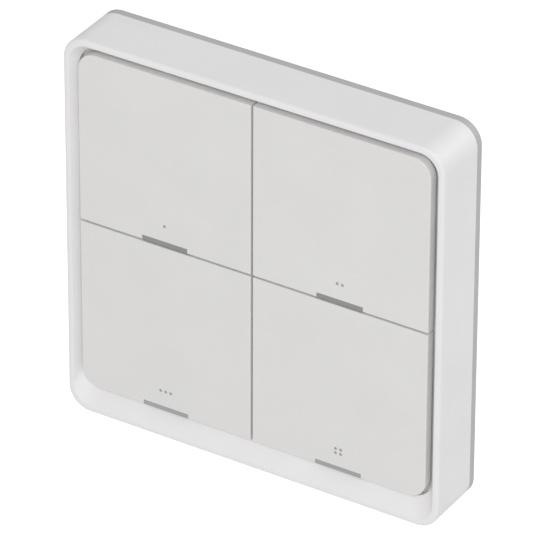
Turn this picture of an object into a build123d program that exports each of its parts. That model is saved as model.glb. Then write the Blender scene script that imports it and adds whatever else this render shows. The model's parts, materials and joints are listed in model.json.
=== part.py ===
from build123d import *
from math import radians, sin
import os

# Scene switch remote on its magnetic wall plate.
# Millimetres. +Z is up, +X is to the right seen from the room, and the front looks along -Y.
# The origin is the middle of the adhesive pad's glued face, so the wall is the plane Y = 0.
# A "depth" below is a distance in front of the wall.

# Outline of the wall plate and of the front frame
plate_width = 86.0
plate_height = 86.0
corner_radius = 5.0

# Wall plate and what it carries
pad_side = 48.0
pad_corner = 4.0
pad_thickness = 0.8
pad_proud = 0.3
wall_plate_thickness = 1.8
wall_plate_edge = 0.1
screw_spacing = 60.0
screw_slot_width = 4.2
screw_slot_length = 8.0
screw_head_width = 8.2
screw_head_recess = 0.7
magnet_spacing = 58.0
keeper_radius = 6.0
keeper_thickness = 0.5
peg_spacing = 60.0
peg_radius = 3.0
peg_height = 1.1

# Front frame: a shell with a soft lip, a flat crest and a bevel, steep round the keys and wide below them
frame_depth = 12.3
frame_wall = 1.5
lip_round = 0.7
lip_crest = 0.6
crest_corner = 4.4
crest_round = 0.2
bevel_drop = 1.95
rim_thickness = 1.35
rim_side = 3.2
rim_top = 3.0
rim_bottom = 6.2

# Keys, two rows of two
key_gap = 0.45
opening_gap = 0.7
block_corner = 4.0
key_edge = 0.25
key_set_back = 0.4
key_wall = 1.1
key_skirt = 1.0
key_tilt = 1.2
rib_thickness = 0.8
rib_height = 0.7
window_width = 10.5
window_height = 1.1
window_recess = 0.12
window_depth = 1.8
window_flange_width = 12.5
window_flange_height = 1.2
window_flange_thickness = 0.8

# Snap-in hinge at the upper edge of each key: pins held by open clips
pivot_inset = 3.2
pin_radius = 0.75
pin_rise = 0.95
pin_clearance = 0.07
clip_width = 3.0
clip_half_height = 1.5
clip_rise = 0.5
clip_side_clearance = 0.2
clip_offset = 12.0
lug_thickness = 1.2

# Hooks at the lower edge of each key, which stop it at rest
hook_offset = 12.0
hook_width = 3.0
hook_stem = 1.0
hook_inset = 3.0
hook_foot = 0.7
hook_foot_thickness = 0.75
hook_play = 0.1
hook_slot_clearance = 0.3

# Key carrier
carrier_thickness = 1.2
carrier_boss_radius = 2.2
boss_inset = 4.4
boss_spacing_z = 16.0

# Circuit board and switches
board_gap = 2.0
board_thickness = 0.8
board_corner = 2.0
switch_arm = 25.0
switch_side = 6.0
switch_height = 1.7
switch_corner = 0.6
switch_lead_length = 0.7
switch_lead_width = 1.0
switch_lead_thickness = 0.2
plunger_radius = 1.2
plunger_clearance = 0.08
plunger_rise = 0.55
plunger_play = 0.1
pusher_radius = 1.8
pusher_clearance = 1.0
pusher_taper = 2.0
led_width = 1.6
led_height = 0.8
led_thickness = 0.6
pipe_clearance = 0.1
pipe_led_gap = 0.3
pipe_flange = 0.5
pipe_flange_thickness = 0.6
board_screw_radius = 0.95
board_screw_head_radius = 1.9
board_screw_head_height = 1.2
board_screw_head_chamfer = 0.4
board_screw_depth = 3.6
screw_clearance = 0.05
board_hole_clearance = 0.25
module_inset = 1.0
module_width = 13.0
module_height = 16.0
module_board = 0.8
shield_inset = 1.2
shield_height = 1.6
shield_edge = 0.4
antenna_height = 3.4
chip_thickness = 0.9
chip_side = 5.0
crystal_width = 3.2
crystal_height = 2.5
resistor_width = 1.2
resistor_height = 2.0
resistor_pitch = 2.6
parts_gap = 2.0

# Rear case
case_clearance = 0.2
case_wall = 1.3
case_floor = 1.2
boss_wall = 1.2
pocket_clearance = 0.3
pocket_roof = 0.8
snap_length = 8.0
snap_proud = 0.5
snap_height = 1.0
snap_offset = 20.0
snap_depth = 6.0

# Magnets, coin cell, contacts and battery cover
magnet_radius = 4.0
magnet_thickness = 2.0
magnet_clearance = 0.1
cell_radius = 10.0
cell_thicknesses = (1.6, 2.0, 2.5, 3.2)
cell_cap_radius = 8.6
cell_cap_rise = 0.35
cell_edge = 0.4
cell_play = 0.05
contact_bow = 0.3
cover_radius = 11.85
cover_clearance = 0.15
cover_recess = 0.3
cover_thickness = 1.0
cover_ring_clearance = 0.4
cover_ring_wall = 1.2
cover_lug_reach = 1.5
cover_lug_thickness = 0.7
cover_lug_angle = 24.0
cover_turn = 40.0
cover_lug_gap = 0.1
notch_angle_play = 4.0
notch_play = 0.2
coin_slot_length = 14.0
coin_slot_width = 1.8
coin_slot_depth = 0.6
well_wall = 1.1
well_clearance = 0.3
fin_thickness = 1.2
contact_thickness = 0.2
contact_width = 5.0
contact_foot = 2.6
contact_reach = 7.0

# Depths that follow from the sizes above
plate_back = pad_proud
plate_front = plate_back + wall_plate_thickness
lip = plate_front + frame_depth
bevel_foot = lip - bevel_drop
carrier_front = bevel_foot - rim_thickness
carrier_back = carrier_front - carrier_thickness
board_front = carrier_back - board_gap
board_back = board_front - board_thickness
case_inside = plate_front + case_floor
key_face = lip - key_set_back
key_inside = key_face - key_wall
cover_back = plate_front + cover_recess
cover_front = cover_back + cover_thickness
cell_back = cover_front + cell_play
cell_room = board_back - cell_back - contact_bow
cell_thickness = max(standard for standard in cell_thicknesses if standard <= cell_room)
cell_front = cell_back + cell_thickness

# The key block and the keys in it, as places on the front
block_width = plate_width - 2 * rim_side
block_height = plate_height - rim_top - rim_bottom
block_middle = (rim_bottom - rim_top) / 2
opening_width = block_width + 2 * opening_gap
opening_height = block_height + 2 * opening_gap
opening_corner = block_corner + opening_gap
crest_inset = lip_round + lip_crest
key_width = (block_width - key_gap) / 2
key_height = (block_height - key_gap) / 2
key_step_x = key_width + key_gap
key_step_z = key_height + key_gap
key_travel = key_height * sin(radians(key_tilt))
skirt_end = carrier_front + key_travel + hook_play
pin_depth = carrier_front + pin_rise
plunger_travel = switch_arm * sin(radians(key_tilt))
plunger_top = board_front + switch_height + plunger_rise
pusher_end = plunger_top + plunger_play

# Each key's number with its place: column -1 left or 1 right, row 1 upper or -1 lower
key_places = {1: (-1, 1), 2: (1, 1), 3: (-1, -1), 4: (1, -1)}


def front_plane(depth):
    """A plane parallel to the wall at a depth, looking into the room."""
    return Plane.XZ.offset(depth)


def key_middle(number):
    """Where the middle of a key is on the front."""
    column, row = key_places[number]
    return column * key_step_x / 2, block_middle + row * key_step_z / 2


def key_pivot(number):
    """Height of a key's hinge pins."""
    return key_middle(number)[1] + key_height / 2 - pivot_inset


def key_foot(number):
    """Height of a key's lower edge."""
    return key_middle(number)[1] - key_height / 2


def switch_place(number):
    """Where a key's pusher meets its switch."""
    return key_middle(number)[0], key_pivot(number) - switch_arm


def window_place(number):
    """Where the middle of a key's light bar is."""
    return key_middle(number)[0], key_foot(number) + window_height / 2


def save(piece, name):
    """Label a finished piece and write it under its own name."""
    piece.label = name
    export_step(piece, f"parts/{name}.step")


os.makedirs("parts", exist_ok=True)

# Wall plate: flat grey plate with a pad recess behind and screw slots, keeper seats and pegs in front
with BuildPart() as wall_plate:
    with BuildSketch(front_plane(plate_back)):
        RectangleRounded(plate_width, plate_height, corner_radius)
    extrude(amount=wall_plate_thickness)
    chamfer(wall_plate.faces().sort_by(Axis.Y)[-1].edges(), wall_plate_edge)
    with BuildSketch(front_plane(plate_back)):
        RectangleRounded(pad_side, pad_side, pad_corner)
    extrude(amount=pad_thickness - pad_proud, mode=Mode.SUBTRACT)
    with BuildSketch(front_plane(plate_back)):
        with GridLocations(screw_spacing, 0, 2, 1):
            SlotOverall(screw_slot_length, screw_slot_width)
    extrude(amount=wall_plate_thickness, mode=Mode.SUBTRACT)
    with BuildSketch(front_plane(plate_front)):
        with GridLocations(screw_spacing, 0, 2, 1):
            SlotOverall(screw_slot_length + screw_head_width - screw_slot_width, screw_head_width)
    extrude(amount=-screw_head_recess, mode=Mode.SUBTRACT)
    with BuildSketch(front_plane(plate_front)):
        with GridLocations(magnet_spacing, magnet_spacing, 2, 2):
            Circle(keeper_radius)
    extrude(amount=-keeper_thickness, mode=Mode.SUBTRACT)
    with BuildSketch(front_plane(plate_front)):
        with GridLocations(0, peg_spacing, 1, 2):
            Circle(peg_radius)
    extrude(amount=peg_height)
    chamfer(wall_plate.faces().sort_by(Axis.Y)[:2].edges(), wall_plate_edge)
save(wall_plate.part, "wall_plate")

with BuildPart() as adhesive_pad:
    with BuildSketch(front_plane(0)):
        RectangleRounded(pad_side, pad_side, pad_corner)
    extrude(amount=pad_thickness)
save(adhesive_pad.part, "adhesive_pad")

with BuildPart() as keeper_discs:
    with BuildSketch(front_plane(plate_front - keeper_thickness)):
        with GridLocations(magnet_spacing, magnet_spacing, 2, 2):
            Circle(keeper_radius)
    extrude(amount=keeper_thickness)
save(keeper_discs.part, "keeper_discs")


def snap_plane(side, along, wall_place):
    """Plane across a snap ridge: local x points out of the wall, local y into the room."""
    if side in ("left", "right"):
        out = Vector(1 if side == "right" else -1, 0, 0)
        place = Vector(out.X * wall_place, 0, along)
    else:
        out = Vector(0, 0, 1 if side == "top" else -1)
        place = Vector(along, 0, out.Z * wall_place)
    return Plane(origin=place, x_dir=out, z_dir=out.cross(Vector(0, -1, 0)))


def snap_profiles(wall_half_width, wall_half_height, grow):
    """Planes and size of every snap ridge, for the case, or grown by a clearance for the frame."""
    planes = []
    for side in ("left", "right", "top", "bottom"):
        wall_place = wall_half_width if side in ("left", "right") else wall_half_height
        for along in (-snap_offset, snap_offset):
            planes.append(snap_plane(side, along, wall_place))
    return planes, snap_proud + grow, snap_height / 2 + grow, snap_length + 2 * grow


cavity_width = plate_width - 2 * frame_wall
cavity_height = plate_height - 2 * frame_wall
case_width = cavity_width - 2 * case_clearance
case_height = cavity_height - 2 * case_clearance
case_corner = corner_radius - frame_wall - case_clearance
board_width = case_width - 2 * case_wall - 2 * pocket_clearance
board_height = case_height - 2 * case_wall - 2 * pocket_clearance
boss_spacing_x = board_width - 2 * boss_inset

# Front frame: outer shell, cavity for the case, opening for the keys, bevel between lip and opening
with BuildPart() as front_frame:
    with BuildSketch(front_plane(plate_front)):
        RectangleRounded(plate_width, plate_height, corner_radius)
    extrude(amount=frame_depth)
    fillet(front_frame.faces().sort_by(Axis.Y)[0].edges(), lip_round)
    with BuildSketch(front_plane(plate_front)):
        RectangleRounded(cavity_width, cavity_height, corner_radius - frame_wall)
    extrude(amount=carrier_front - plate_front, mode=Mode.SUBTRACT)
    with BuildSketch(front_plane(carrier_front)):
        with Locations((0, block_middle)):
            RectangleRounded(opening_width, opening_height, opening_corner)
    extrude(amount=lip - carrier_front, mode=Mode.SUBTRACT)
    with BuildSketch(front_plane(bevel_foot)):
        with Locations((0, block_middle)):
            RectangleRounded(opening_width, opening_height, opening_corner)
    with BuildSketch(front_plane(lip)):
        RectangleRounded(plate_width - 2 * crest_inset, plate_height - 2 * crest_inset, crest_corner)
    loft(mode=Mode.SUBTRACT)
    fillet(front_frame.faces().sort_by(Axis.Y)[0].inner_wires()[0].edges(), crest_round)
    pocket_planes, pocket_reach, pocket_half, pocket_length = snap_profiles(
        case_width / 2, case_height / 2, case_clearance)
    for plane in pocket_planes:
        with BuildSketch(plane):
            with Locations((pocket_reach / 2, snap_depth)):
                Rectangle(pocket_reach, 2 * pocket_half)
        extrude(amount=pocket_length / 2, both=True, mode=Mode.SUBTRACT)
save(front_frame.part, "front_frame")


def sketch_key_outline(number, inset):
    """One key's outline: the corner at the block's own corner is round, the other three are sharp."""
    column, row = key_places[number]
    middle_x, middle_z = key_middle(number)
    width = key_width - 2 * inset
    height = key_height - 2 * inset
    block_tip = (middle_x + column * width / 2, middle_z + row * height / 2)
    with BuildSketch(Plane.XY, mode=Mode.PRIVATE) as outline:
        with Locations((middle_x, middle_z)):
            Rectangle(width, height)
        fillet(outline.vertices().sort_by_distance(block_tip)[0], block_corner - inset)
    return outline.sketch


# Keys: shells with a skirt, ribs, hinge pins between lugs, stop hooks, a pusher and a light bar notch
def build_key(number):
    middle_x, middle_z = key_middle(number)
    pivot = key_pivot(number)
    foot = key_foot(number)
    outline = sketch_key_outline(number, 0)
    inner_outline = sketch_key_outline(number, key_skirt)
    with BuildPart() as key:
        with BuildSketch(front_plane(skirt_end)):
            add(outline)
        extrude(amount=key_face - skirt_end)
        fillet(key.faces().sort_by(Axis.Y)[0].edges(), key_edge)
        with BuildSketch(front_plane(skirt_end)):
            add(inner_outline)
        extrude(amount=key_inside - skirt_end, mode=Mode.SUBTRACT)
        # Stiffening ribs on the back of the face
        with BuildSketch(front_plane(key_inside)):
            for rib_x in (-1, 1):
                with Locations((middle_x + rib_x * (clip_offset - hook_width), middle_z)):
                    Rectangle(rib_thickness, key_height - key_skirt)
            with Locations((middle_x, pivot - switch_arm)):
                Rectangle(key_width - key_skirt, rib_thickness)
        extrude(amount=-rib_height)
        # Lugs that carry the hinge pins
        for side in (-1, 1):
            clip_x = middle_x + side * clip_offset
            half_span = clip_width / 2 + clip_side_clearance
            for lug_x in (clip_x - half_span - lug_thickness, clip_x + half_span):
                with BuildSketch(Plane.YZ.offset(lug_x)):
                    with Locations((-(pin_depth + key_inside) / 2, pivot)):
                        Rectangle(key_inside - pin_depth, 2 * pin_radius)
                    with Locations((-pin_depth, pivot)):
                        Circle(pin_radius)
                extrude(amount=lug_thickness)
            with BuildSketch(Plane.YZ.offset(clip_x - half_span)):
                with Locations((-pin_depth, pivot)):
                    Circle(pin_radius)
            extrude(amount=2 * half_span)
        # Stop hooks with a lead-in ramp, which reach through the carrier
        hook_top = carrier_back - hook_play
        hook_end = hook_top - hook_foot_thickness
        for side in (-1, 1):
            hook_x = middle_x + side * hook_offset
            stem_low = foot + hook_inset
            with BuildSketch(Plane.YZ.offset(hook_x - hook_width / 2)):
                with BuildLine():
                    Polyline(
                        (-key_inside, stem_low),
                        (-hook_top, stem_low),
                        (-hook_top, stem_low - hook_foot),
                        (-(hook_top + hook_end) / 2, stem_low - hook_foot),
                        (-hook_end, stem_low),
                        (-hook_end, stem_low + hook_stem),
                        (-key_inside, stem_low + hook_stem),
                        close=True,
                    )
                make_face()
            extrude(amount=hook_width)
        # Pusher over the switch
        with BuildSketch(front_plane(key_inside)):
            with Locations(switch_place(number)):
                Circle(pusher_radius)
        extrude(amount=pusher_end - key_inside, taper=pusher_taper)
        # Notch for the light bar, open at the key's lower edge
        with BuildSketch(front_plane(key_face)):
            with Locations(window_place(number)):
                Rectangle(window_width, window_height)
        extrude(amount=-window_depth, mode=Mode.SUBTRACT)
    return key.part


for number in key_places:
    save(build_key(number), f"key_{number}")


# Light bars: a bar that fills the notch, with a flange behind the key's face
def build_window(number):
    bar_x, bar_z = window_place(number)
    flange_z = bar_z + window_height / 2 + window_flange_height / 2
    with BuildPart() as window:
        with BuildSketch(front_plane(key_face - window_depth)):
            with Locations((bar_x, bar_z)):
                Rectangle(window_width, window_height)
        extrude(amount=window_depth - window_recess)
        with BuildSketch(front_plane(key_inside - window_flange_thickness)):
            with Locations((bar_x, flange_z)):
                Rectangle(window_flange_width, window_flange_height)
        extrude(amount=window_flange_thickness)
    return window.part


for number in key_places:
    save(build_window(number), f"light_window_{number}")

# Key carrier: chassis plate with clips, slots, holes and screw bosses
clip_bore = pin_radius + pin_clearance
with BuildPart() as key_carrier:
    with BuildSketch(front_plane(carrier_back)):
        RectangleRounded(case_width, case_height, case_corner)
    extrude(amount=carrier_thickness)
    for number in key_places:
        middle_x, middle_z = key_middle(number)
        pivot = key_pivot(number)
        for side in (-1, 1):
            with BuildSketch(Plane.YZ.offset(middle_x + side * clip_offset - clip_width / 2)):
                with Locations((-(carrier_front + pin_depth + clip_rise) / 2, pivot)):
                    Rectangle(pin_rise + clip_rise, 2 * clip_half_height)
                with Locations((-pin_depth, pivot)):
                    Circle(clip_bore, mode=Mode.SUBTRACT)
            extrude(amount=clip_width)
        with BuildSketch(front_plane(carrier_back)):
            for side in (-1, 1):
                slot_low = key_foot(number) + hook_inset - hook_slot_clearance
                slot_height = hook_stem + 2 * hook_slot_clearance
                with Locations((middle_x + side * hook_offset, slot_low + slot_height / 2)):
                    Rectangle(hook_width + 2 * hook_slot_clearance, slot_height)
            with Locations(switch_place(number)):
                Circle(pusher_radius + pusher_clearance)
            with Locations(window_place(number)):
                Rectangle(window_width, window_height + 2 * pipe_clearance)
        extrude(amount=carrier_thickness, mode=Mode.SUBTRACT)
    with BuildSketch(front_plane(board_front)):
        with GridLocations(boss_spacing_x, boss_spacing_z, 2, 2):
            Circle(carrier_boss_radius)
    extrude(amount=board_gap)
    with BuildSketch(front_plane(board_front)):
        with GridLocations(boss_spacing_x, boss_spacing_z, 2, 2):
            Circle(board_screw_radius + screw_clearance)
    extrude(amount=board_screw_depth - board_thickness, mode=Mode.SUBTRACT)
save(key_carrier.part, "key_carrier")

# Light pipes: bars through the carrier with a flange that seats behind it
with BuildPart() as light_pipes:
    for number in key_places:
        with BuildSketch(front_plane(board_front + led_thickness + pipe_led_gap)):
            with Locations(window_place(number)):
                Rectangle(window_width - 2 * pipe_clearance, window_height)
        extrude(amount=carrier_front - board_front - led_thickness - pipe_led_gap)
        with BuildSketch(front_plane(carrier_back - pipe_flange_thickness)):
            with Locations(window_place(number)):
                Rectangle(window_width + 2 * pipe_flange, window_height + 2 * pipe_flange)
        extrude(amount=pipe_flange_thickness)
save(light_pipes.part, "light_pipes")

# Circuit board with its screw holes
with BuildPart() as circuit_board:
    with BuildSketch(front_plane(board_back)):
        RectangleRounded(board_width, board_height, board_corner)
        with GridLocations(boss_spacing_x, boss_spacing_z, 2, 2):
            Circle(board_screw_radius + board_hole_clearance, mode=Mode.SUBTRACT)
    extrude(amount=board_thickness)
save(circuit_board.part, "circuit_board")

with BuildPart() as board_screws:
    with BuildSketch(front_plane(board_back - board_screw_head_height)):
        with GridLocations(boss_spacing_x, boss_spacing_z, 2, 2):
            Circle(board_screw_head_radius)
    extrude(amount=board_screw_head_height)
    chamfer(board_screws.faces().group_by(Axis.Y)[-1].edges(), board_screw_head_chamfer)
    with BuildSketch(front_plane(board_back)):
        with GridLocations(boss_spacing_x, boss_spacing_z, 2, 2):
            Circle(board_screw_radius)
    extrude(amount=board_screw_depth - screw_clearance)
save(board_screws.part, "board_screws")


# Push switches: a square body on the board, and a plunger that slides in it
def build_switch_body(number):
    place_x, place_z = switch_place(number)
    with BuildPart() as switch_body:
        with BuildSketch(front_plane(board_front)):
            with Locations((place_x, place_z)):
                Rectangle(switch_side, switch_side)
        extrude(amount=switch_height)
        chamfer(switch_body.edges().filter_by(Axis.Y), switch_corner)
        with BuildSketch(front_plane(board_front)):
            for side_x in (-1, 1):
                for side_z in (-1, 1):
                    lead_x = place_x + side_x * (switch_side + switch_lead_length) / 2
                    lead_z = place_z + side_z * switch_side / 4
                    with Locations((lead_x, lead_z)):
                        Rectangle(switch_lead_length, switch_lead_width)
        extrude(amount=switch_lead_thickness)
        with BuildSketch(front_plane(board_front + switch_height)):
            with Locations((place_x, place_z)):
                Circle(plunger_radius + plunger_clearance)
        extrude(amount=-(switch_height - switch_lead_thickness), mode=Mode.SUBTRACT)
    return switch_body.part


def build_plunger(number):
    plunger_end = board_front + switch_lead_thickness + plunger_travel + plunger_play
    with BuildPart() as plunger:
        with BuildSketch(front_plane(plunger_end)):
            with Locations(switch_place(number)):
                Circle(plunger_radius)
        extrude(amount=plunger_top - plunger_end)
        chamfer(plunger.faces().sort_by(Axis.Y)[0].edges(), plunger_clearance)
    return plunger.part


for number in key_places:
    save(build_switch_body(number), f"switch_body_{number}")
    save(build_plunger(number), f"plunger_{number}")

with BuildPart() as light_diodes:
    with BuildSketch(front_plane(board_front)):
        for number in key_places:
            with Locations(window_place(number)):
                Rectangle(led_width, led_height)
    extrude(amount=led_thickness)
save(light_diodes.part, "light_diodes")

# Radio module at the board's upper edge, beside the upper peg: a small board with a shield can and an antenna
module_x = magnet_spacing / 4
module_z = board_height / 2 - module_inset - module_height / 2
shield_length = module_height - shield_inset - antenna_height
with BuildPart() as radio_module:
    with BuildSketch(front_plane(board_back)):
        with Locations((module_x, module_z)):
            Rectangle(module_width, module_height)
    extrude(amount=-module_board)
    with BuildSketch(front_plane(board_back - module_board)):
        with Locations((module_x, module_z - (antenna_height - shield_inset) / 2)):
            Rectangle(module_width - 2 * shield_inset, shield_length)
    extrude(amount=-shield_height)
    fillet(radio_module.faces().sort_by(Axis.Y)[-1].edges(), shield_edge)
save(radio_module.part, "radio_module")

# Chip, crystal and a row of resistors on the other side of the peg
crystal_z = module_z + (chip_side + crystal_height) / 2 + parts_gap
resistor_z = module_z - (chip_side + resistor_height) / 2 - parts_gap
with BuildPart() as board_components:
    with BuildSketch(front_plane(board_back)):
        with Locations((-module_x, module_z)):
            Rectangle(chip_side, chip_side)
        with Locations((-module_x, crystal_z)):
            Rectangle(crystal_width, crystal_height)
        with Locations((-module_x, resistor_z)):
            with GridLocations(resistor_pitch, 0, 3, 1):
                Rectangle(resistor_width, resistor_height)
    extrude(amount=-chip_thickness)
save(board_components.part, "board_components")

# Rear case: floor, walls, pockets for magnets, screw heads and pegs, coin cell well, snap ridges
ring_inner = cell_radius + cover_ring_clearance
ring_outer = ring_inner + cover_ring_wall
lug_outer = ring_outer + cover_lug_reach
well_inner = lug_outer + well_clearance
well_outer = well_inner + well_wall
lug_front = case_inside + cover_lug_gap + cover_lug_thickness
well_front = board_back - well_clearance
head_pocket_width = screw_head_width + 2 * pocket_clearance
head_pocket_length = screw_slot_length + screw_head_width - screw_slot_width + 2 * pocket_clearance
pocket_front = plate_front + magnet_thickness
boss_front = pocket_front + pocket_roof


def sector(radius, angle, width):
    """Triangle from the middle that a turning lug's width covers, a little longer than the radius."""
    reach = 2 * radius
    first = Vector(reach, 0).rotate(Axis.Z, angle - width / 2)
    second = Vector(reach, 0).rotate(Axis.Z, angle + width / 2)
    return Polyline((0, 0), (first.X, first.Y), (second.X, second.Y), close=True)


def lug_sectors(turn, width):
    """Sketch of three sectors, one for each lug of the battery cover, turned from the closed place."""
    with BuildSketch(Plane.XY, mode=Mode.PRIVATE) as sectors:
        for lug in range(3):
            with BuildLine():
                sector(lug_outer, 90 + 120 * lug + turn, width)
            make_face()
    return sectors.sketch


with BuildPart() as rear_case:
    with BuildSketch(front_plane(plate_front)):
        RectangleRounded(case_width, case_height, case_corner)
    extrude(amount=carrier_back - plate_front)
    with BuildSketch(front_plane(case_inside)):
        RectangleRounded(case_width - 2 * case_wall, case_height - 2 * case_wall, case_corner - case_wall)
    extrude(amount=carrier_back - case_inside, mode=Mode.SUBTRACT)
    with BuildSketch(front_plane(case_inside)):
        with GridLocations(magnet_spacing, magnet_spacing, 2, 2):
            Circle(magnet_radius + magnet_clearance + boss_wall)
        with GridLocations(0, peg_spacing, 1, 2):
            Circle(peg_radius + pocket_clearance + boss_wall)
        with GridLocations(screw_spacing, 0, 2, 1):
            SlotOverall(head_pocket_length + 2 * boss_wall, head_pocket_width + 2 * boss_wall)
    extrude(amount=boss_front - case_inside)
    with BuildSketch(front_plane(plate_front)):
        with GridLocations(magnet_spacing, magnet_spacing, 2, 2):
            Circle(magnet_radius + magnet_clearance)
        with GridLocations(0, peg_spacing, 1, 2):
            Circle(peg_radius + pocket_clearance)
        with GridLocations(screw_spacing, 0, 2, 1):
            SlotOverall(head_pocket_length, head_pocket_width)
    extrude(amount=pocket_front - plate_front, mode=Mode.SUBTRACT)
    with BuildSketch(front_plane(case_inside)):
        Circle(well_outer)
        Circle(well_inner, mode=Mode.SUBTRACT)
    extrude(amount=well_front - case_inside)
    with BuildSketch(front_plane(lug_front + well_clearance)):
        with PolarLocations(0, 3, start_angle=30):
            with Locations(((ring_inner + well_inner + well_wall / 2) / 2, 0)):
                Rectangle(well_inner + well_wall / 2 - ring_inner, fin_thickness)
    extrude(amount=well_front - lug_front - well_clearance)
    with BuildSketch(front_plane(plate_front)):
        Circle(cover_radius + cover_clearance)
    extrude(amount=case_floor, mode=Mode.SUBTRACT)
    with BuildSketch(front_plane(plate_front)):
        Circle(lug_outer + notch_play)
        add(lug_sectors(-cover_turn, cover_lug_angle + notch_angle_play), mode=Mode.INTERSECT)
    extrude(amount=case_floor, mode=Mode.SUBTRACT)
    ridge_planes, ridge_reach, ridge_half, ridge_length = snap_profiles(case_width / 2, case_height / 2, 0)
    for plane in ridge_planes:
        with BuildSketch(plane):
            with BuildLine():
                Polyline((0, snap_depth - ridge_half), (ridge_reach, snap_depth + ridge_half / 2),
                         (ridge_reach, snap_depth + ridge_half), (0, snap_depth + ridge_half), close=True)
            make_face()
        extrude(amount=ridge_length / 2, both=True)
save(rear_case.part, "rear_case")

with BuildPart() as magnets:
    with BuildSketch(front_plane(plate_front)):
        with GridLocations(magnet_spacing, magnet_spacing, 2, 2):
            Circle(magnet_radius)
    extrude(amount=magnet_thickness)
save(magnets.part, "magnets")

# Battery cover: disc with a coin slot, a ring round the cell and three locking lugs
with BuildPart() as battery_cover:
    with BuildSketch(front_plane(cover_back)):
        Circle(cover_radius)
    extrude(amount=cover_thickness)
    with BuildSketch(front_plane(cover_front)):
        Circle(ring_outer)
        Circle(ring_inner, mode=Mode.SUBTRACT)
    extrude(amount=lug_front - cover_front)
    with BuildSketch(front_plane(lug_front - cover_lug_thickness)):
        Circle(lug_outer)
        add(lug_sectors(0, cover_lug_angle), mode=Mode.INTERSECT)
        Circle(ring_inner, mode=Mode.SUBTRACT)
    extrude(amount=cover_lug_thickness)
    with BuildSketch(front_plane(cover_back)):
        SlotOverall(coin_slot_length, coin_slot_width)
    extrude(amount=coin_slot_depth, mode=Mode.SUBTRACT)
save(battery_cover.part, "battery_cover")

# Coin cell: stepped can, turned about the depth axis
with BuildPart() as coin_cell:
    with BuildSketch(Plane.XY):
        with BuildLine():
            Polyline(
                (0, -cell_back),
                (cell_radius - cell_edge, -cell_back),
                (cell_radius, -cell_back - cell_edge),
                (cell_radius, -cell_front + cell_cap_rise),
                (cell_cap_radius, -cell_front + cell_cap_rise),
                (cell_cap_radius - cell_cap_rise, -cell_front),
                (0, -cell_front),
                close=True,
            )
        make_face()
    revolve(axis=Axis.Y)
save(coin_cell.part, "coin_cell")

# Contacts: a leaf beside the cell, and a bowed strip between the cell's cap and the board
with BuildPart() as positive_contact:
    with BuildSketch(Plane.XY):
        with BuildLine():
            leaf_x = cell_radius + cell_play
            leaf_low = lug_front + well_clearance
            Polyline(
                (leaf_x, -board_back),
                (leaf_x, -leaf_low),
                (leaf_x + contact_thickness, -leaf_low),
                (leaf_x + contact_thickness, -board_back + contact_thickness),
                (leaf_x + contact_foot, -board_back + contact_thickness),
                (leaf_x + contact_foot, -board_back),
                close=True,
            )
        make_face()
    extrude(amount=contact_width / 2, both=True)
save(positive_contact.part, "positive_contact")

with BuildPart() as negative_contact:
    with BuildSketch(Plane.XY):
        with BuildLine():
            Spline(
                (-contact_reach, -board_back + contact_thickness / 2),
                (0, -cell_front - contact_thickness / 2 - cell_play),
                (contact_reach, -board_back + contact_thickness / 2),
                tangents=((1, 0), (1, 0)),
            )
        trace(line_width=contact_thickness)
    extrude(amount=contact_width / 2, both=True)
save(negative_contact.part, "negative_contact")
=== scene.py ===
"""Looks of the scene switch remote: materials, printed dots, small inner parts, light, floor and camera."""
import json
import math

import bmesh
import bpy
from mathutils import Matrix, Vector


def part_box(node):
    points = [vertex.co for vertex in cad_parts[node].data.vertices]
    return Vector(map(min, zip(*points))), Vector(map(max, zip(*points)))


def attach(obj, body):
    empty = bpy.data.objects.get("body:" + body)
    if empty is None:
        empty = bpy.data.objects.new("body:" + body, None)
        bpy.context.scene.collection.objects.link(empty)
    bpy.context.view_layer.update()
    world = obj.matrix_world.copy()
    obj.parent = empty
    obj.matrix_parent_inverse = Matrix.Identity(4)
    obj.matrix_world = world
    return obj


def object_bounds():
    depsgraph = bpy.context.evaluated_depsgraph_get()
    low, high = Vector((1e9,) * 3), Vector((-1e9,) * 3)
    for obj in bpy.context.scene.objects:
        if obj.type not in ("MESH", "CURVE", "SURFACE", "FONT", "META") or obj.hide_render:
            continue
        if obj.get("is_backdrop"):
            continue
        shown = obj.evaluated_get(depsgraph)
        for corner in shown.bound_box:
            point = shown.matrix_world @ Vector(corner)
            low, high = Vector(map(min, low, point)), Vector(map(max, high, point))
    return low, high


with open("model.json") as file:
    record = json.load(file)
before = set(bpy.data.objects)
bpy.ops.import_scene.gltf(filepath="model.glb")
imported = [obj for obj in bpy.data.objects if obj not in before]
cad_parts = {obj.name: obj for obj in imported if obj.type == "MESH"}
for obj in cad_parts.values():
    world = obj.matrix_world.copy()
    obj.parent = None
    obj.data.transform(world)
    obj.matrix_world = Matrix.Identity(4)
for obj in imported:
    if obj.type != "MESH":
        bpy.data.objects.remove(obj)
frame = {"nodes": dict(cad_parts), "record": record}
cad_low, cad_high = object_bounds()
nodes = frame["nodes"]

# Lengths are in metres. The front looks along -Y, Z is up and the wall is the plane Y = 0.
MM = 0.001
KEYS = (1, 2, 3, 4)


# Material helpers

def start_material(name):
    """A new material with its node tree and its main shader."""
    material = bpy.data.materials.new(name)
    material.use_nodes = True
    tree = material.node_tree
    return material, tree, tree.nodes["Principled BSDF"]


def surface_place(tree):
    """Places on the piece itself, in metres, so that a texture moves with it."""
    return tree.nodes.new("ShaderNodeTexCoord").outputs["Object"]


def noise(tree, place, size, detail=2.0, roughness=0.5):
    """Noise whose blotches are about that size in metres. Gives a value round one half."""
    made = tree.nodes.new("ShaderNodeTexNoise")
    made.inputs["Scale"].default_value = 1.0 / size
    made.inputs["Detail"].default_value = detail
    made.inputs["Roughness"].default_value = roughness
    tree.links.new(place, made.inputs["Vector"])
    return made.outputs["Fac"]


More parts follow.
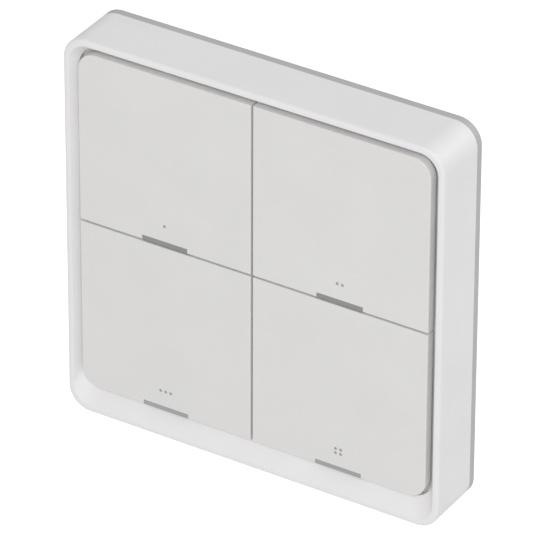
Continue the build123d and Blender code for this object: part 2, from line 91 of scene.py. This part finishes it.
def cells(tree, place, size, square=False):
    """Distance to the middle of the nearest cell, in cell sizes, measured round or square."""
    made = tree.nodes.new("ShaderNodeTexVoronoi")
    if square:
        made.distance = "CHEBYCHEV"
    made.inputs["Scale"].default_value = 1.0 / size
    tree.links.new(place, made.inputs["Vector"])
    return made.outputs["Distance"]


def spread(tree, value, low, high, start=0.3, end=0.7):
    """Map a value from start..end to low..high."""
    made = tree.nodes.new("ShaderNodeMapRange")
    made.inputs["From Min"].default_value = start
    made.inputs["From Max"].default_value = end
    made.inputs["To Min"].default_value = low
    made.inputs["To Max"].default_value = high
    tree.links.new(value, made.inputs["Value"])
    return made.outputs["Result"]


def calculate(tree, operation, *values):
    """One step of arithmetic. Each value is a number or another node's output."""
    made = tree.nodes.new("ShaderNodeMath")
    made.operation = operation
    for socket, value in zip(made.inputs, values):
        if isinstance(value, bpy.types.NodeSocket):
            tree.links.new(value, socket)
        else:
            socket.default_value = value
    return made.outputs["Value"]


def along(tree, place, axis):
    """The place's coordinate along X, Y or Z, in metres."""
    made = tree.nodes.new("ShaderNodeSeparateXYZ")
    tree.links.new(place, made.inputs["Vector"])
    return made.outputs[axis]


def stretched(tree, place, scale):
    """Places squeezed by a factor along each axis, so that a pattern comes out longer there."""
    made = tree.nodes.new("ShaderNodeMapping")
    made.inputs["Scale"].default_value = scale
    tree.links.new(place, made.inputs["Vector"])
    return made.outputs["Vector"]


def folded(tree, place, across, up):
    """Places measured from the nearest of four points at (+-across, +-up), in the plane of the wall."""
    parts = [calculate(tree, "ABSOLUTE", along(tree, place, axis)) for axis in ("X", "Z")]
    made = tree.nodes.new("ShaderNodeCombineXYZ")
    for socket, part, offset in zip(("X", "Z"), parts, (across, up)):
        tree.links.new(calculate(tree, "SUBTRACT", part, offset), made.inputs[socket])
    return made.outputs["Vector"]


def distance(tree, place):
    """Distance from the axis through the place's zero, square to the wall."""
    squares = [calculate(tree, "POWER", along(tree, place, axis), 2.0) for axis in ("X", "Z")]
    return calculate(tree, "SQRT", calculate(tree, "ADD", *squares))


def blend_colours(tree, value, first, second):
    """Colour from first to second as the value goes from 0 to 1. Each is a colour or a node's output."""
    made = tree.nodes.new("ShaderNodeMix")
    made.data_type = "RGBA"
    tree.links.new(value, made.inputs["Factor"])
    for socket, colour in zip(("A", "B"), (first, second)):
        inputs = [i for i in made.inputs if i.name == socket and i.type == "RGBA"]
        if isinstance(colour, bpy.types.NodeSocket):
            tree.links.new(colour, inputs[0])
        else:
            inputs[0].default_value = (*colour, 1.0)
    return [o for o in made.outputs if o.type == "RGBA"][0]


def tint(colour, factor):
    """The same colour, lighter or darker."""
    return tuple(min(1.0, channel * factor) for channel in colour)


def shaded(tree, value, colour, low, high):
    """The colour times a factor that goes from low to high as the value goes from 0 to 1."""
    return blend_colours(tree, value, tint(colour, low), tint(colour, high))


def grey(level):
    """A neutral colour."""
    return (level, level, level)


def uneven_gloss(tree, shader, place, roughness, patch, reach):
    """Roughness that varies in patches of that size, by the reach either way."""
    gloss = spread(tree, noise(tree, place, patch, 3.0), roughness - reach, roughness + reach)
    tree.links.new(gloss, shader.inputs["Roughness"])


def relief(tree, shader, value, depth):
    """Raise the surface by the value, up to a depth in metres."""
    made = tree.nodes.new("ShaderNodeBump")
    made.inputs["Strength"].default_value = 1.0
    made.inputs["Distance"].default_value = depth
    tree.links.new(value, made.inputs["Height"])
    tree.links.new(made.outputs["Normal"], shader.inputs["Normal"])


# Materials, one function for each kind

# Plastic that light doesn't pass
TONE_PATCH = 14 * MM
GLOSS_PATCH = 2 * MM

# Clear and smoked plastic; the split is a height between the upper and the lower light bars, with painted
# shade above it and painted light below it
CLEAR_GLOSS_PATCH = 1.5 * MM
CLEAR_FLOW = 2 * MM
CLEAR_GRAIN = 0.8 * MM
CLEAR_GRAIN_DEPTH = 0.003 * MM
BAR_FLOW = 1.2 * MM
BAR_GRAIN = 0.3 * MM
BAR_GRAIN_DEPTH = 0.002 * MM
BARS_SPLIT = -10 * MM

# Metal: stains make up the cloud share of the pattern, and fine lines or rings the rest
STAIN_PATCH = 5 * MM
CLOUD_SHARE = 0.6
LINE_WIDTH = 0.15 * MM
LINE_STRETCH = 0.03
RING_WIDTH = 0.12 * MM

# Adhesive pad: foam, and liners of that depth with a split of that half width between them
BUBBLE_SIZE = 0.25 * MM
BUBBLE_DEPTH = 0.05 * MM
LINER_FIBRE = 0.8 * MM
LINER_SPLIT = 0.12 * MM
LINER_DEPTH = 0.05 * MM

# Circuit board: track and via shares are of the track pitch and of the via pitch
LOOP_PITCH = 11 * MM
TRACKS_IN_LOOP = 9.0
TRACK_SHARE = 0.45
TRACK_RELIEF = 0.02 * MM
MASK_PATCH = 6 * MM
VIA_PITCH = 3.2 * MM
VIA_SHARE = 0.11


def moulded_plastic(name, colour, roughness, grain=0.35 * MM, depth=0.004 * MM, mottle=0.015):
    """Moulded plastic: spark-eroded grain, slow changes of tone and slightly uneven gloss."""
    material, tree, shader = start_material(name)
    place = surface_place(tree)
    tone = spread(tree, noise(tree, place, TONE_PATCH), 0.0, 1.0)
    tree.links.new(shaded(tree, tone, colour, 1 - mottle, 1 + mottle), shader.inputs["Base Color"])
    uneven_gloss(tree, shader, place, roughness, GLOSS_PATCH, 0.04)
    relief(tree, shader, noise(tree, place, grain, 3.0, 0.6), depth)
    return material


def clear_moulding(name, colour, roughness, clearness):
    """Moulded plastic that lets light through, with faint flow marks."""
    material, tree, shader = start_material(name)
    place = surface_place(tree)
    flow = spread(tree, noise(tree, stretched(tree, place, (0.3, 1, 1)), CLEAR_FLOW), 0.0, 1.0)
    tree.links.new(shaded(tree, flow, colour, 0.94, 1.04), shader.inputs["Base Color"])
    uneven_gloss(tree, shader, place, roughness, CLEAR_GLOSS_PATCH, 0.05)
    shader.inputs["Transmission Weight"].default_value = clearness
    relief(tree, shader, noise(tree, place, CLEAR_GRAIN, 2.0), CLEAR_GRAIN_DEPTH)
    return material


def smoked_bar_painted_light_and_shade(name, upper, lower, roughness):
    """Smoked plastic of the light bars, with flow marks along the bar; the upper pair is painted darker as
    shade from the gap between the keys, and the lower pair lighter as light from the bright bevel below
    them.
    """
    material, tree, shader = start_material(name)
    place = surface_place(tree)
    flow = spread(tree, noise(tree, stretched(tree, place, (0.2, 1, 1)), BAR_FLOW), 0.0, 1.0)
    # Painted shade on the upper pair and painted light on the lower pair: one smoked plastic in a darker
    # and a lighter copy
    in_shaded_upper_pair = calculate(tree, "GREATER_THAN", along(tree, place, "Z"), BARS_SPLIT)
    painted_shade_tone = shaded(tree, flow, upper, 0.97, 1.03)
    light = shaded(tree, flow, lower, 0.97, 1.03)
    tree.links.new(blend_colours(tree, in_shaded_upper_pair, light, painted_shade_tone), shader.inputs["Base Color"])
    uneven_gloss(tree, shader, place, roughness, CLEAR_GLOSS_PATCH, 0.04)
    relief(tree, shader, noise(tree, place, BAR_GRAIN, 2.0), BAR_GRAIN_DEPTH)
    return material


def metal(name, colour, roughness, lines, line_depth=0.002 * MM, stain=0.08):
    """Plated metal: cloudy stains, and fine lines whose pattern is the value that lines gives."""
    material, tree, shader = start_material(name)
    place = surface_place(tree)
    shader.inputs["Metallic"].default_value = 1.0
    clouds = spread(tree, noise(tree, place, STAIN_PATCH, 4.0), 0.0, 1.0)
    scratches = lines(tree, place)
    weighted = calculate(tree, "MULTIPLY", scratches, 1 - CLOUD_SHARE)
    mixed = calculate(tree, "MULTIPLY_ADD", clouds, CLOUD_SHARE, weighted)
    tree.links.new(shaded(tree, mixed, colour, 1 - stain, 1 + stain), shader.inputs["Base Color"])
    gloss = spread(tree, mixed, roughness - 0.08, roughness + 0.08, 0.2, 0.8)
    tree.links.new(gloss, shader.inputs["Roughness"])
    relief(tree, shader, scratches, line_depth)
    return material


def brushed(tree, place):
    """Straight fine lines along X."""
    return noise(tree, stretched(tree, place, (LINE_STRETCH, 1, 1)), LINE_WIDTH, 3.0)


def rolled(tree, place):
    """Straight fine lines along Z."""
    return noise(tree, stretched(tree, place, (1, 1, LINE_STRETCH)), LINE_WIDTH, 3.0)


def turned(across, up):
    """A pattern of fine rings round the nearest of four axes, or round one axis where both are zero."""
    def pattern(tree, place):
        radius = distance(tree, folded(tree, place, across, up))
        made = tree.nodes.new("ShaderNodeCombineXYZ")
        tree.links.new(radius, made.inputs["X"])
        return noise(tree, made.outputs["Vector"], RING_WIDTH, 3.0)
    return pattern


def foam_with_liner(name, colour, liner):
    """Cellular foam, with smooth liners of another colour, split in two, on the face for the wall."""
    material, tree, shader = start_material(name)
    place = surface_place(tree)
    bubbles = cells(tree, place, BUBBLE_SIZE)
    foam = shaded(tree, spread(tree, bubbles, 0.0, 1.0, 0.1, 0.8), colour, 0.82, 1.0)
    fibres = spread(tree, noise(tree, place, LINER_FIBRE, 4.0), 0.0, 1.0)
    paper = shaded(tree, fibres, liner, 0.95, 1.03)
    height = calculate(tree, "ABSOLUTE", along(tree, place, "Z"))
    split = calculate(tree, "LESS_THAN", height, LINER_SPLIT)
    paper = blend_colours(tree, split, paper, tint(liner, 0.6))
    on_liner = calculate(tree, "GREATER_THAN", along(tree, place, "Y"), -LINER_DEPTH)
    tree.links.new(blend_colours(tree, on_liner, foam, paper), shader.inputs["Base Color"])
    tree.links.new(spread(tree, on_liner, 0.9, 0.38, 0, 1), shader.inputs["Roughness"])
    on_foam = calculate(tree, "SUBTRACT", 1.0, on_liner)
    relief(tree, shader, calculate(tree, "MULTIPLY", bubbles, on_foam), BUBBLE_DEPTH)
    return material


def board_laminate(name, mask, copper, gold):
    """Solder mask over copper tracks that run in squared loops, with small gilt vias between them."""
    material, tree, shader = start_material(name)
    place = surface_place(tree)
    loops = cells(tree, place, LOOP_PITCH, square=True)
    wave = calculate(tree, "FRACT", calculate(tree, "MULTIPLY", loops, TRACKS_IN_LOOP))
    tracks = calculate(tree, "LESS_THAN", wave, TRACK_SHARE)
    blotch = spread(tree, noise(tree, place, MASK_PATCH), 0.0, 1.0)
    covered = blend_colours(tree, tracks, shaded(tree, blotch, mask, 0.9, 1.1), copper)
    vias = calculate(tree, "LESS_THAN", cells(tree, place, VIA_PITCH), VIA_SHARE)
    tree.links.new(blend_colours(tree, vias, covered, gold), shader.inputs["Base Color"])
    tree.links.new(vias, shader.inputs["Metallic"])
    tree.links.new(spread(tree, blotch, 0.24, 0.34, 0, 1), shader.inputs["Roughness"])
    relief(tree, shader, tracks, TRACK_RELIEF)
    return material


# Material of each slot in the record, with rings round the four magnets and the four screws

MAGNET_OFFSET = 29 * MM
SCREW_ACROSS = 35.3 * MM
SCREW_UP = 8 * MM
MASK_GREEN = (0.02, 0.14, 0.06)
TRACK_GREEN = (0.06, 0.26, 0.11)
GILT = (0.78, 0.60, 0.28)
MATERIALS = {}
magnet_rings = turned(MAGNET_OFFSET, MAGNET_OFFSET)
screw_rings = turned(SCREW_ACROSS, SCREW_UP)


def add_material(slot, make, *values, **options):
    """Make the material of one slot."""
    MATERIALS[slot] = make(slot, *values, **options)


add_material("white_plastic", moulded_plastic, (0.808, 0.797, 0.804), 0.50)
add_material("key_plastic", moulded_plastic, (0.725, 0.719, 0.706), 0.52)
# The two greys of the light bars are painted shade for the upper pair and painted light for the lower pair
add_material("window_plastic", smoked_bar_painted_light_and_shade, grey(0.252), grey(0.345), 0.35)
add_material("grey_plastic", moulded_plastic, grey(0.45), 0.55, mottle=0.03)
add_material("rear_plastic", moulded_plastic, grey(0.78), 0.58, depth=0.008 * MM)
add_material("cover_plastic", moulded_plastic, grey(0.72), 0.55, depth=0.008 * MM)
add_material("inner_plastic", moulded_plastic, grey(0.70), 0.6, depth=0.010 * MM, mottle=0.03)
add_material("switch_plastic", moulded_plastic, grey(0.06), 0.45, grain=0.2 * MM, mottle=0.1)
add_material("plunger_plastic", moulded_plastic, (0.60, 0.18, 0.12), 0.4, grain=0.2 * MM, mottle=0.06)
add_material("chip_ceramic", moulded_plastic, (0.12, 0.12, 0.13), 0.55, grain=0.08 * MM, mottle=0.12)
add_material("diode_resin", clear_moulding, (0.90, 0.88, 0.75), 0.3, 0.15)
add_material("clear_plastic", clear_moulding, (0.85, 0.86, 0.86), 0.28, 0.6)
add_material("foam_tape", foam_with_liner, (0.85, 0.85, 0.83), (0.72, 0.76, 0.80))
add_material("board_laminate", board_laminate, MASK_GREEN, TRACK_GREEN, GILT)
add_material("zinc_steel", metal, (0.60, 0.61, 0.62), 0.38, brushed)
add_material("magnet_nickel", metal, (0.62, 0.62, 0.63), 0.22, magnet_rings, line_depth=0.001 * MM)
add_material("cell_steel", metal, (0.66, 0.66, 0.67), 0.28, turned(0, 0))
add_material("screw_steel", metal, (0.55, 0.55, 0.56), 0.32, screw_rings, stain=0.12)
add_material("shield_tin", metal, (0.70, 0.70, 0.71), 0.36, rolled, stain=0.05)
add_material("spring_metal", metal, (0.78, 0.62, 0.30), 0.3, brushed)

for part in frame["record"]["subparts"]:
    piece = nodes[part["node"]]
    piece.data.materials.clear()
    piece.data.materials.append(MATERIALS[part["material_slot"]])


# Meshes of the small pieces

def add_dome(mesh, centre, radius, height, rings=4, segments=32):
    """A low dome that bulges along the height's direction, closed by a flat disc."""
    aside = height.orthogonal().normalized()
    up = height.cross(aside).normalized()
    turns = [step / segments * math.tau for step in range(segments)]
    loops = []
    for ring in range(rings):
        angle = ring / rings * math.pi / 2
        middle = centre + height * math.sin(angle)
        wide = radius * math.cos(angle)
        places = [middle + wide * (aside * math.cos(turn) + up * math.sin(turn)) for turn in turns]
        loops.append([mesh.verts.new(place) for place in places])
    top = mesh.verts.new(centre + height)
    for step in range(segments):
        following = (step + 1) % segments
        for lower, upper in zip(loops, loops[1:]):
            mesh.faces.new((lower[step], lower[following], upper[following], upper[step]))
        mesh.faces.new((loops[-1][step], loops[-1][following], top))
    mesh.faces.new(reversed(loops[0]))


def add_block(mesh, low, high, edge):
    """A block between two corners, with its edges rounded."""
    corners = bmesh.ops.create_cube(mesh, size=1.0)["verts"]
    bmesh.ops.scale(mesh, vec=high - low, verts=corners)
    bmesh.ops.translate(mesh, vec=(high + low) / 2, verts=corners)
    edges = list({line for corner in corners for line in corner.link_edges})
    bmesh.ops.bevel(mesh, geom=edges, offset=edge, segments=2, profile=0.5, affect="EDGES")


def add_holed_plate(mesh, centre, half, hole, thickness, segments=48):
    """A square plate with a round hole, its front face at the centre's depth."""
    loops = []
    for depth in (0.0, thickness):
        for size, square in ((hole, False), (half, True)):
            loop = []
            for step in range(segments):
                across = math.cos(step / segments * math.tau)
                up = math.sin(step / segments * math.tau)
                reach = size / max(abs(across), abs(up)) if square else size
                loop.append(mesh.verts.new(centre + Vector((across * reach, depth, up * reach))))
            loops.append(loop)
    front_hole, front_rim, back_hole, back_rim = loops
    sides = ((front_hole, front_rim), (front_rim, back_rim), (back_rim, back_hole), (back_hole, front_hole))
    for step in range(segments):
        following = (step + 1) % segments
        for first, second in sides:
            mesh.faces.new((first[step], first[following], second[following], second[step]))


def finish_piece(name, mesh, material, body, smooth=True):
    """Turn a mesh under construction into a piece that rides on a body."""
    bmesh.ops.recalc_face_normals(mesh, faces=mesh.faces)
    for face in mesh.faces:
        face.smooth = smooth
    data = bpy.data.meshes.new(name)
    mesh.to_mesh(data)
    mesh.free()
    data.materials.append(material)
    made = bpy.data.objects.new(name, data)
    bpy.context.scene.collection.objects.link(made)
    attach(made, body)


# Printed dots on the keys

DOT_RADIUS = 0.33 * MM
DOT_HEIGHT = 0.03 * MM
DOT_PITCH_ACROSS = 1.18 * MM
DOT_PITCH_UP = 1.0 * MM
DOTS_ABOVE_FOOT = 4.6 * MM


def dot_places(number):
    """Places of a key's dots from their middle, in pitches: a row up to three, then a square of four."""
    if number == 4:
        return [(x, z) for x in (-0.5, 0.5) for z in (-0.5, 0.5)]
    return [(index - (number - 1) / 2, 0) for index in range(number)]


ink = moulded_plastic("ink", (0.34, 0.335, 0.33), 0.5, grain=0.1 * MM, depth=0.002 * MM)
for number in KEYS:
    low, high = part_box(f"key_{number}")
    middle = Vector(((low.x + high.x) / 2, low.y, low.z + DOTS_ABOVE_FOOT))
    mesh = bmesh.new()
    for across, up in dot_places(number):
        place = middle + Vector((across * DOT_PITCH_ACROSS, 0, up * DOT_PITCH_UP))
        add_dome(mesh, place, DOT_RADIUS, Vector((0, -DOT_HEIGHT, 0)))
    finish_piece(f"printed_dots_{number}", mesh, ink, f"key_{number}")


# Moulded plus sign and pointer on the battery cover

MARK_HEIGHT = 0.15 * MM
MARK_EDGE = 0.05 * MM
PLUS_UP = 5.6 * MM
PLUS_REACH = 1.6 * MM
PLUS_HALF = 0.3 * MM
POINTER_UP = 10.3 * MM
POINTER_RADIUS = 0.55 * MM

low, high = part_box("battery_cover")
mark_front = Vector((0, high.y - MARK_HEIGHT / 2, PLUS_UP))
mark_back = Vector((0, high.y + MARK_HEIGHT, PLUS_UP))
mesh = bmesh.new()
for half_x, half_z in ((PLUS_REACH, PLUS_HALF), (PLUS_HALF, PLUS_REACH)):
    corner = Vector((half_x, 0, half_z))
    add_block(mesh, mark_front - corner, mark_back + corner, MARK_EDGE)
add_dome(mesh, Vector((0, high.y, POINTER_UP)), POINTER_RADIUS, Vector((0, MARK_HEIGHT, 0)))
finish_piece("battery_cover_marks", mesh, MATERIALS["cover_plastic"], "battery_cover")


# Metal lids with rivets on the push switches, and lenses on the light diodes

LID_HALF = 2.75 * MM
LID_HOLE = 1.5 * MM
LID_SUNK = 0.08 * MM
LID_PROUD = 0.04 * MM
RIVET_INSET = 0.6 * MM
RIVET_RADIUS = 0.35 * MM
RIVET_HEIGHT = 0.1 * MM
LENS_RADIUS = 0.34 * MM
LENS_HEIGHT = 0.12 * MM
LENS_UP = 0.55 * MM

tin = MATERIALS["shield_tin"]
for number in KEYS:
    low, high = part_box(f"switch_body_{number}")
    centre = Vector(((low.x + high.x) / 2, low.y - LID_PROUD, (low.z + high.z) / 2))
    mesh = bmesh.new()
    add_holed_plate(mesh, centre, LID_HALF, LID_HOLE, LID_PROUD + LID_SUNK)
    for side_x in (-1, 1):
        for side_z in (-1, 1):
            offset = Vector((side_x, 0, side_z)) * (LID_HALF - RIVET_INSET)
            add_dome(mesh, centre + offset, RIVET_RADIUS, Vector((0, -RIVET_HEIGHT, 0)), segments=20)
    finish_piece(f"switch_lid_{number}", mesh, tin, "remote", smooth=False)

phosphor = clear_moulding("phosphor", (0.90, 0.78, 0.30), 0.35, 0.0)
low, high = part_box("light_diodes")
mesh = bmesh.new()
for number in KEYS:
    bar_low, bar_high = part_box(f"light_window_{number}")
    lens = Vector(((bar_low.x + bar_high.x) / 2, low.y, bar_low.z + LENS_UP))
    add_dome(mesh, lens, LENS_RADIUS, Vector((0, -LENS_HEIGHT, 0)), segments=20)
finish_piece("diode_lenses", mesh, phosphor, "remote")


# Aerial track of the radio module

TRACK_WIDTH = 0.4 * MM
TRACK_HEIGHT = 0.05 * MM
TRACK_EDGE = 0.01 * MM
TRACK_TURNS = 7
TRACK_INSET = 1.3 * MM
AERIAL_HIGH = 0.6 * MM
AERIAL_LOW = 2.7 * MM
MODULE_BOARD = 0.8 * MM


def add_track(mesh, start, end):
    """One straight run of copper between two places on the module's board."""
    grow = Vector((TRACK_WIDTH / 2, TRACK_HEIGHT, TRACK_WIDTH / 2))
    add_block(mesh, start - grow, end + grow, TRACK_EDGE)


low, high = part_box("radio_module")
surface = low.y + MODULE_BOARD
foot = high.z - AERIAL_LOW
head = high.z - AERIAL_HIGH
first = low.x + TRACK_INSET
last = high.x - TRACK_INSET
pitch = (last - first) / TRACK_TURNS
mesh = bmesh.new()
for turn in range(TRACK_TURNS):
    left = first + turn * pitch
    level = head if turn % 2 == 0 else foot
    add_track(mesh, Vector((left, surface, foot)), Vector((left, surface, head)))
    add_track(mesh, Vector((left, surface, level)), Vector((left + pitch, surface, level)))
add_track(mesh, Vector((last, surface, foot)), Vector((last, surface, head)))
finish_piece("aerial_track", mesh, MATERIALS["spring_metal"], "remote", smooth=False)


# Lid of the crystal and end caps of the resistors

CRYSTAL_WIDTH = 3.2 * MM
CRYSTAL_HEIGHT = 2.5 * MM
CRYSTAL_LID_INSET = 0.15 * MM
CRYSTAL_LID_PROUD = 0.06 * MM
CRYSTAL_LID_EDGE = 0.03 * MM
RESISTOR_WIDTH = 1.2 * MM
RESISTOR_HEIGHT = 2.0 * MM
RESISTOR_PITCH = 2.6 * MM
CAP_LENGTH = 0.4 * MM
CAP_PROUD = 0.02 * MM
CAP_EDGE = 0.01 * MM

low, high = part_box("board_components")
middle_x = (low.x + high.x) / 2
lid_half = CRYSTAL_WIDTH / 2 - CRYSTAL_LID_INSET
lid_foot = high.z - CRYSTAL_HEIGHT + CRYSTAL_LID_INSET
lid_head = high.z - CRYSTAL_LID_INSET
mesh = bmesh.new()
add_block(mesh, Vector((middle_x - lid_half, high.y - CAP_PROUD, lid_foot)),
          Vector((middle_x + lid_half, high.y + CRYSTAL_LID_PROUD, lid_head)), CRYSTAL_LID_EDGE)
cap_half = RESISTOR_WIDTH / 2 + CAP_PROUD
for column in (-1, 0, 1):
    cap_x = middle_x + column * RESISTOR_PITCH
    for cap_foot in (low.z - CAP_PROUD, low.z + RESISTOR_HEIGHT - CAP_LENGTH):
        cap_head = cap_foot + CAP_LENGTH + CAP_PROUD
        add_block(mesh, Vector((cap_x - cap_half, low.y, cap_foot)),
                  Vector((cap_x + cap_half, high.y + CAP_PROUD, cap_head)), CAP_EDGE)
finish_piece("component_metal", mesh, tin, "remote", smooth=False)


# World: white where it is seen itself, and a plain light level for everything else

AMBIENT = 0.52
BACKGROUND = 1.0


def seen_directly(tree):
    """1 for rays that show the background itself, in the view, in a reflection or through glass."""
    path = tree.nodes.new("ShaderNodeLightPath")
    shown = path.outputs["Is Camera Ray"]
    for name in ("Is Glossy Ray", "Is Transmission Ray"):
        shown = calculate(tree, "MAXIMUM", shown, path.outputs[name])
    return shown


world = bpy.data.worlds.new("studio")
bpy.context.scene.world = world
world.use_nodes = True
sky = world.node_tree.nodes["Background"]
sky.inputs["Color"].default_value = (1, 1, 1, 1)
brightness = spread(world.node_tree, seen_directly(world.node_tree), AMBIENT, BACKGROUND, 0, 1)
world.node_tree.links.new(brightness, sky.inputs["Strength"])


# Floor, well below the object because that hangs on a wall

FLOOR_DEPTH = 0.75
FLOOR_SIZE = 12.0
FLOOR_TONE = 0.85
FLOOR_ROUGHNESS = 0.8
FLOOR_GLOW = 0.6

bpy.ops.mesh.primitive_plane_add(size=FLOOR_SIZE, location=(0, 0, -FLOOR_DEPTH))
floor = bpy.context.object
floor.name = "floor"
floor_material, floor_tree, floor_shader = start_material("floor")
floor_shader.inputs["Base Color"].default_value = (*grey(FLOOR_TONE), 1)
floor_shader.inputs["Roughness"].default_value = FLOOR_ROUGHNESS
floor_shader.inputs["Emission Color"].default_value = (1, 1, 1, 1)
glow = spread(floor_tree, seen_directly(floor_tree), 0.0, FLOOR_GLOW, 0, 1)
floor_tree.links.new(glow, floor_shader.inputs["Emission Strength"])
floor.data.materials.append(floor_material)
floor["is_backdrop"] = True


# Softboxes: direction from the object and power in watts

LIGHT_DISTANCE = 1.5
LIGHT_SIZE = 0.8


def add_softbox(name, direction, power):
    """A square lamp that faces the object."""
    outward = Vector(direction).normalized()
    lamp = bpy.data.lights.new(name, "AREA")
    lamp.shape = "SQUARE"
    lamp.size = LIGHT_SIZE
    lamp.energy = power
    softbox = bpy.data.objects.new(name, lamp)
    bpy.context.scene.collection.objects.link(softbox)
    softbox.location = outward * LIGHT_DISTANCE
    softbox.rotation_mode = "QUATERNION"
    softbox.rotation_quaternion = outward.to_track_quat("Z", "Y")


add_softbox("front_softbox", (0.37, -0.78, 0.48), 11.5)
add_softbox("back_softbox", (0.53, 0.72, 0.45), 5.8)


# Camera at the photograph's viewing angle, aimed beside the middle of the remote's front

AZIMUTH = math.radians(31.60)
ELEVATION = math.radians(32.11)
ROLL = math.radians(0.22)
DISTANCE = 1.197
SIDE_OFFSET = 0.00480
UP_OFFSET = 0.00181
LENS = 403.1
SENSOR_WIDTH = 36

level = Vector((math.cos(AZIMUTH), math.sin(AZIMUTH), 0))
back = Vector((
    math.sin(AZIMUTH) * math.cos(ELEVATION),
    -math.cos(AZIMUTH) * math.cos(ELEVATION),
    math.sin(ELEVATION),
))
above = back.cross(level)
right = level * math.cos(ROLL) + above * math.sin(ROLL)
up = above * math.cos(ROLL) - level * math.sin(ROLL)
camera = bpy.data.objects.new("camera", bpy.data.cameras.new("camera"))
bpy.context.scene.collection.objects.link(camera)
camera.data.lens = LENS
camera.data.sensor_width = SENSOR_WIDTH
camera.data.clip_start = 0.01
camera.data.clip_end = 50
camera.location = Vector((0, cad_low.y, 0)) + back * DISTANCE + right * SIDE_OFFSET + up * UP_OFFSET
camera.rotation_mode = "QUATERNION"
camera.rotation_quaternion = Matrix((right, up, back)).transposed().to_quaternion()
bpy.context.scene.camera = camera
bpy.context.scene.view_settings.view_transform = "Standard"

low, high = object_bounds()
